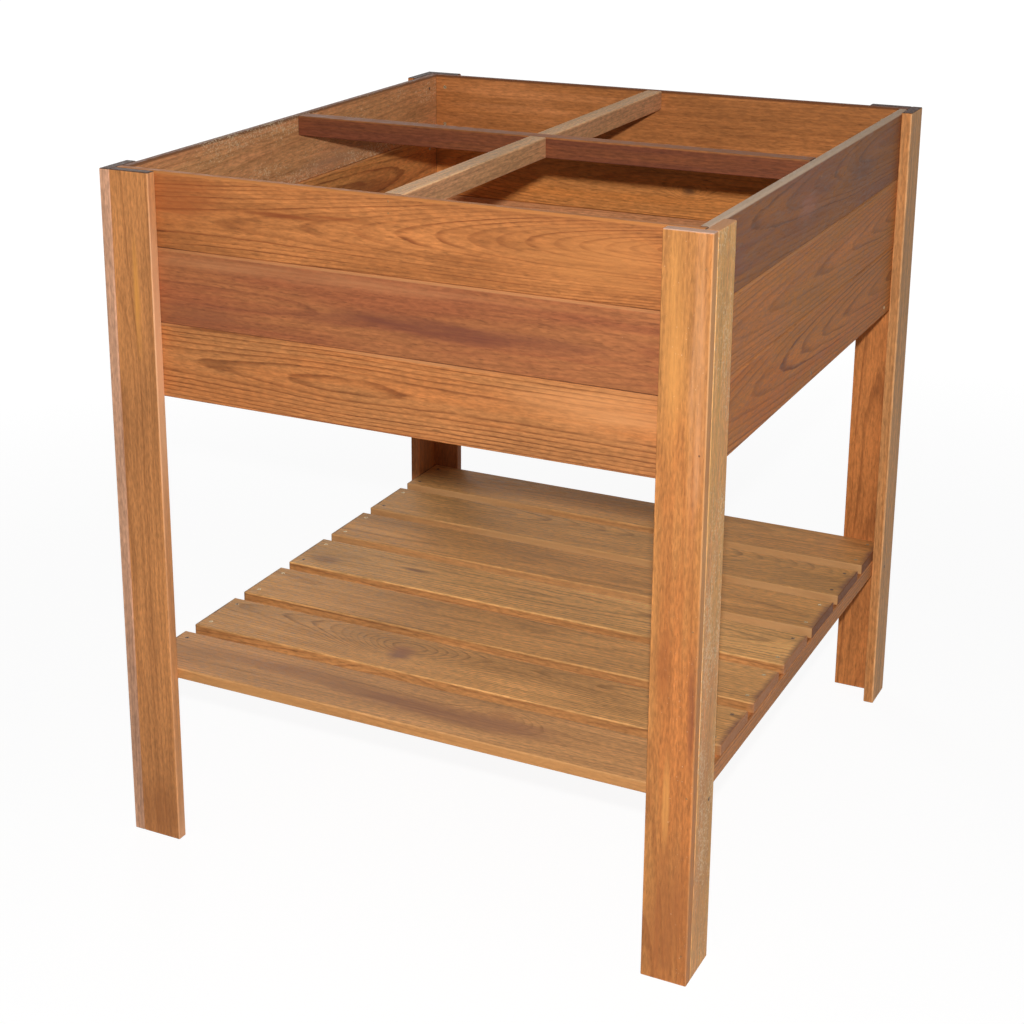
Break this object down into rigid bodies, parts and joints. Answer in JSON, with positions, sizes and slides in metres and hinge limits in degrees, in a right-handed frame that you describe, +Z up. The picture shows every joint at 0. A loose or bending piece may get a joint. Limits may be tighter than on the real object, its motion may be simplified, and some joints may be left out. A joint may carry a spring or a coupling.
{
  "type": "raised garden bed",
  "caption": "Waist-high rectangular wooden planter on angle-section legs, with its bed divided by crossing battens and a slatted shelf underneath.",
  "frame": {"origin": "on the ground, under the middle of the bed", "axes": "+Z up, +X to the right seen from the front, -Y out of the front"},
  "size_m": [0.8, 0.88, 0.92],
  "materials": {
    "leg_wood": "satin",
    "panel_wood": "satin",
    "divider_wood": "matte",
    "shelf_wood": "matte",
    "floor_wood": "matte",
    "zinc": "matte"
  },
  "bodies": {
    "root": {"back_left_leg_back_board": "leg_wood", "back_left_leg_left_board": "leg_wood", "back_panel_board_1": "panel_wood", "back_panel_board_2": "panel_wood", "back_panel_board_3": "panel_wood", "back_right_leg_back_board": "leg_wood", "back_right_leg_right_board": "leg_wood", "bearer_screws": "zinc", "cleat_screws": "zinc", "cross_divider": "divider_wood", "divider_nails": "zinc", "floor_bearer_1": "floor_wood", "floor_bearer_2": "floor_wood", "floor_bearer_3": "floor_wood", "floor_board_1": "floor_wood", "floor_board_2": "floor_wood", "floor_board_3": "floor_wood", "floor_board_4": "floor_wood", "floor_board_5": "floor_wood", "floor_board_6": "floor_wood", "floor_board_7": "floor_wood", "floor_screws": "zinc", "front_left_leg_front_board": "leg_wood", "front_left_leg_left_board": "leg_wood", "front_panel_board_1": "panel_wood", "front_panel_board_2": "panel_wood", "front_panel_board_3": "panel_wood", "front_right_leg_front_board": "leg_wood", "front_right_leg_right_board": "leg_wood", "left_panel_board_1": "panel_wood", "left_panel_board_2": "panel_wood", "left_panel_board_3": "panel_wood", "leg_nails": "zinc", "long_divider": "divider_wood", "panel_screws": "zinc", "right_panel_board_1": "panel_wood", "right_panel_board_2": "panel_wood", "right_panel_board_3": "panel_wood", "shelf_cleat_left": "shelf_wood", "shelf_cleat_right": "shelf_wood", "shelf_slat_1": "shelf_wood", "shelf_slat_2": "shelf_wood", "shelf_slat_3": "shelf_wood", "shelf_slat_4": "shelf_wood", "shelf_slat_5": "shelf_wood", "shelf_slat_6": "shelf_wood", "shelf_slat_7": "shelf_wood", "slat_screws": "zinc"}
  },
  "joints": []
}
